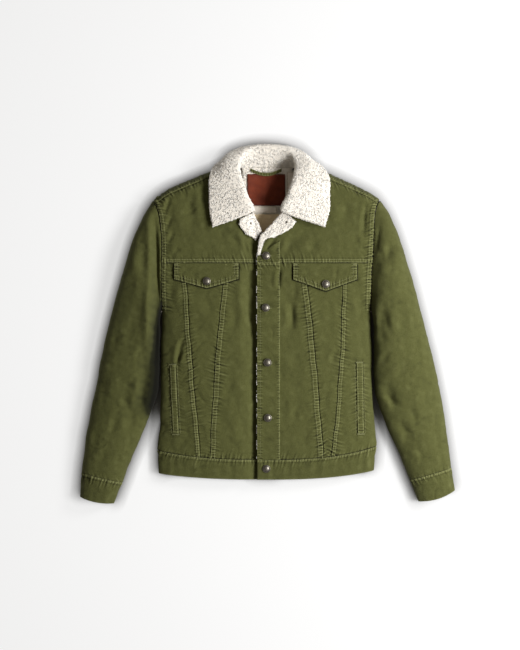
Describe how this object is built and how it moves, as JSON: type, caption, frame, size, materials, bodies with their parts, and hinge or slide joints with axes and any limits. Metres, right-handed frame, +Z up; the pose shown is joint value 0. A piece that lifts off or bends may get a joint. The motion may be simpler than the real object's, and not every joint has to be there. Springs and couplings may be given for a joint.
{
  "type": "sherpa lined jacket",
  "caption": "Buttoned twill trucker jacket laid flat on its back, with a turned-down sherpa collar, pointed chest pocket flaps, tapered front seams and side welt pockets.",
  "frame": {"origin": "on the surface the jacket lies on, under the middle of its outline", "axes": "+Z up from the surface, towards the front of the garment; +Y towards the collar; +X towards the wearer's left, which is the front that laps over the other one"},
  "size_m": [0.8092, 0.7753, 0.0713],
  "materials": {
    "twill": "garment-dyed olive twill",
    "sherpa": "off-white sherpa pile",
    "patch": "smooth brown leather",
    "label": "plain woven label",
    "metal": "antiqued metal"
  },
  "bodies": {
    "root": {"front_yoke_left": "twill", "front_yoke_right": "twill", "front_centre_left": "twill", "front_centre_right": "twill", "front_wedge_left": "twill", "front_wedge_right": "twill", "front_side_left": "twill", "front_side_right": "twill", "back_side_left": "twill", "back_side_right": "twill", "waistband_front_left": "twill", "waistband_front_right": "twill", "sleeve_top_left": "twill", "sleeve_top_right": "twill", "sleeve_under_left": "twill", "sleeve_under_right": "twill", "cuff_top_left": "twill", "cuff_top_right": "twill", "cuff_under_left": "twill", "cuff_under_right": "twill", "pocket_flap_left": "twill", "pocket_flap_right": "twill", "pocket_welt_left": "twill", "pocket_welt_right": "twill", "back_yoke": "twill", "back_centre": "twill", "waistband_back": "twill", "placket": "twill", "hanger_loop": "twill", "collar": "sherpa", "back_lining": "sherpa", "lapel_left": "sherpa", "lapel_right": "sherpa", "neck_patch": "patch", "size_label": "label", "side_label": "label", "placket_button_1": "metal", "placket_button_2": "metal", "placket_button_3": "metal", "placket_button_4": "metal", "waistband_button": "metal", "flap_button_left": "metal", "flap_button_right": "metal"}
  },
  "joints": []
}
